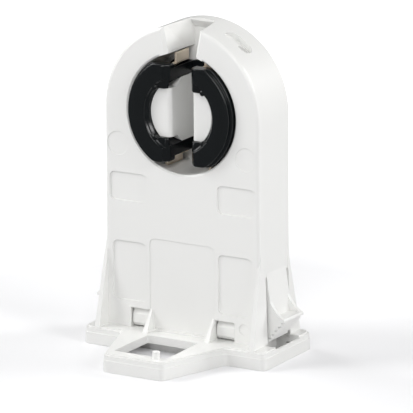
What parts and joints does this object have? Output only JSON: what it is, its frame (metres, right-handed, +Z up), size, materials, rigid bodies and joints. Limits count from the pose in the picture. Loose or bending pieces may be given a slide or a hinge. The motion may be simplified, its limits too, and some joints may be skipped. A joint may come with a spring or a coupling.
{
  "type": "lamp holder",
  "caption": "White push-through lamp holder for a two-pin straight tube, with a black turning rotor, bronze contacts, sprung side fingers and a foot flange with a forward tongue.",
  "frame": {"origin": "middle of the flange's underside, below the plane of the front face", "axes": "+Z up along the body, -Y out of the front face towards the tube, +X to the right seen from behind the tube"},
  "size_m": [0.0318, 0.0256, 0.0488],
  "materials": {
    "white_moulding": "white moulded plastic with a soft shine",
    "white_cover": "white moulded plastic with a soft shine",
    "black_moulding": "black moulded plastic with a soft shine",
    "bronze": "rolled bronze spring strip"
  },
  "bodies": {
    "shell": {"housing": "white_moulding", "rear_cover": "white_cover", "contact_left": "bronze", "contact_right": "bronze"},
    "rotor": {"rotor": "black_moulding"}
  },
  "joints": [
    {"name": "rotor_turn", "type": "hinge", "parent": "shell", "child": "rotor", "pos_m": [0, 0, 0.0358], "axis": [0, -1, 0], "range_deg": [-90, 90]}
  ]
}
